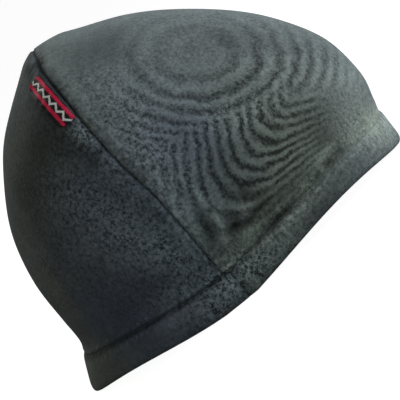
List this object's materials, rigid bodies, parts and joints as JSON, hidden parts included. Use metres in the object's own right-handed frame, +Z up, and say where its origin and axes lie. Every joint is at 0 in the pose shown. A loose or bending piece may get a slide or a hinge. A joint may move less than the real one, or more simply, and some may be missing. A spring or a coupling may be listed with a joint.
{
  "type": "fleece skull cap",
  "caption": "Close-fitting stretch fleece cap of two panels joined by one ear-to-ear crown seam, with a folded topstitched hem and a blank woven label.",
  "frame": {"origin": "centre of the bounding box's base: on the surface the cap stands on, midway between forehead and nape and between the ears", "axes": "+Z up towards the crown, -Y towards the forehead, +X towards the wearer's left ear"},
  "size_m": [0.1606, 0.2134, 0.1568],
  "materials": {
    "fleece": "brushed stretch fleece, charcoal with a green cast",
    "hem": "brushed stretch fleece, folded and topstitched",
    "label": "woven polyester tape"
  },
  "bodies": {
    "root": {"front_panel": "fleece", "back_panel": "fleece", "front_hem": "hem", "back_hem": "hem", "label": "label"}
  },
  "joints": []
}
